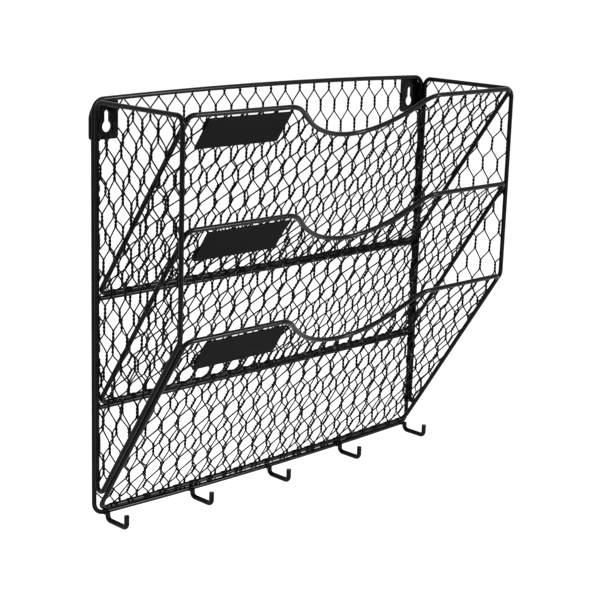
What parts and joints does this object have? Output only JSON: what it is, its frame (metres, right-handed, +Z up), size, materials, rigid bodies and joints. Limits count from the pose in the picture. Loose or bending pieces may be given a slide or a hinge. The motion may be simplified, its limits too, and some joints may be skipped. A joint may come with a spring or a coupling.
{
  "type": "wall letter rack",
  "caption": "Wall-hung letter rack of black wire frames filled with hexagonal netting: sloping pockets one above the other, finger scoops, label plates and hooks below.",
  "frame": {"origin": "on the wall plane, midway between the round holes of the two keyholes", "axes": "+X to the right seen from the front, +Y into the wall, +Z up"},
  "size_m": [0.35, 0.1023, 0.3207],
  "materials": {
    "frame_wire": "gloss",
    "net_wire": "gloss",
    "label_plate": "satin",
    "hanging_tab": "gloss"
  },
  "bodies": {
    "root": {"back_frame": "frame_wire", "upper_cross_wire": "frame_wire", "lower_cross_wire": "frame_wire", "left_side_frame": "frame_wire", "right_side_frame": "frame_wire", "top_pocket_frame": "frame_wire", "middle_pocket_frame": "frame_wire", "bottom_pocket_frame": "frame_wire", "hook_1": "frame_wire", "hook_2": "frame_wire", "hook_3": "frame_wire", "hook_4": "frame_wire", "hook_5": "frame_wire", "back_mesh": "net_wire", "left_side_mesh": "net_wire", "right_side_mesh": "net_wire", "top_pocket_mesh": "net_wire", "middle_pocket_mesh": "net_wire", "bottom_pocket_mesh": "net_wire", "top_label_plate": "label_plate", "middle_label_plate": "label_plate", "bottom_label_plate": "label_plate", "left_hanging_tab": "hanging_tab", "right_hanging_tab": "hanging_tab"}
  },
  "joints": []
}
